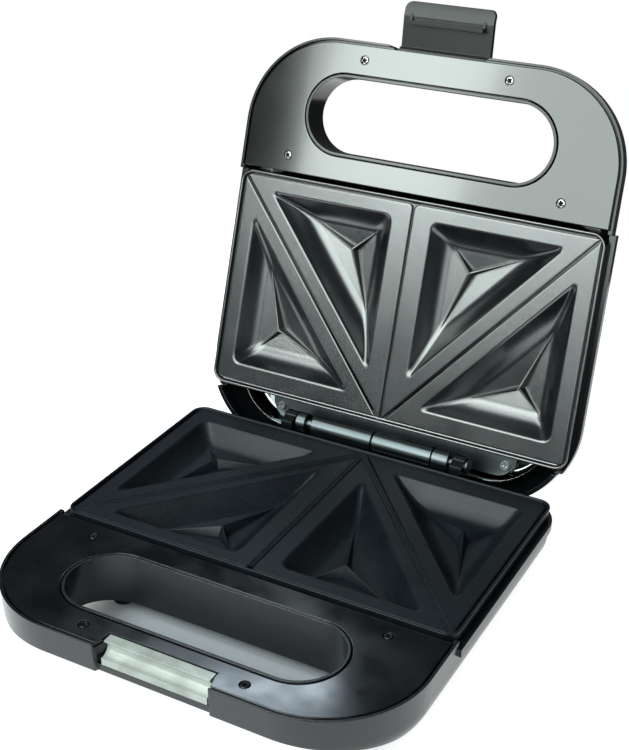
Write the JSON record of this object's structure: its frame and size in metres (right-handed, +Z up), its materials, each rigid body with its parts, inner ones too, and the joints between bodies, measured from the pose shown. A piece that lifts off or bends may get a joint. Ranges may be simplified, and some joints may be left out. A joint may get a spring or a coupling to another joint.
{
  "type": "sandwich toaster",
  "caption": "Open two-slice sandwich toaster with hinged lid, ridged non-stick plates, glossy handle covers and a swing latch.",
  "frame": {"origin": "on the table, in the middle of the open toaster's outline", "axes": "+X to the user's right along the hinge, -Y towards the user, +Z up"},
  "size_m": [0.2298, 0.3113, 0.2673],
  "materials": {
    "casing": "satin",
    "cover": "high gloss",
    "nonstick": "satin non-stick coating",
    "reflector": "bright",
    "element": "oxidised steel sheath",
    "zinc": "zinc plated",
    "bright_screw": "bright",
    "dark_screw": "blackened",
    "hinge_steel": "dark nickel, satin",
    "keeper": "glossy",
    "latch": "satin",
    "ceramic_part": "unglazed",
    "terminal": "satin",
    "inlet": "matt",
    "foot_rubber": "matt",
    "red_lens": "clear tinted",
    "green_lens": "clear tinted",
    "neon": "clear"
  },
  "bodies": {
    "base": {"base_casing": "casing", "base_handle_cover": "cover", "base_cooking_plate": "nonstick", "base_heat_shield": "reflector", "base_heating_element": "element", "base_element_saddles": "zinc", "base_cover_screws": "dark_screw", "base_plate_screws": "zinc", "base_shield_screws": "zinc", "latch_keeper": "keeper", "thermostat": "ceramic_part", "thermal_fuse": "ceramic_part", "terminal_block": "terminal", "cord_inlet_bush": "inlet", "feet": "foot_rubber", "foot_screws": "zinc", "base_hinge_leaf": "hinge_steel", "base_hinge_screws": "zinc", "hinge_pin": "hinge_steel"},
    "lid": {"lid_casing": "casing", "lid_handle_cover": "cover", "lid_cooking_plate": "nonstick", "lid_heat_shield": "reflector", "lid_heating_element": "element", "lid_element_saddles": "zinc", "lid_cover_screws": "bright_screw", "lid_plate_screws": "zinc", "lid_shield_screws": "zinc", "lid_hinge_leaf": "hinge_steel", "lid_hinge_screws": "zinc", "power_lens": "red_lens", "ready_lens": "green_lens", "indicator_lamps": "neon", "latch_pin": "hinge_steel"},
    "latch": {"latch": "latch"}
  },
  "joints": [
    {"name": "lid_hinge", "type": "hinge", "parent": "base", "child": "lid", "pos_m": [0, 0.06611, 0.0355], "axis": [1, 0, 0], "range_deg": [0, 108.4]},
    {"name": "latch_hinge", "type": "hinge", "parent": "lid", "child": "latch", "pos_m": [0, 0.14586, 0.23977], "axis": [1, 0, 0], "range_deg": [0, 80.5]}
  ]
}
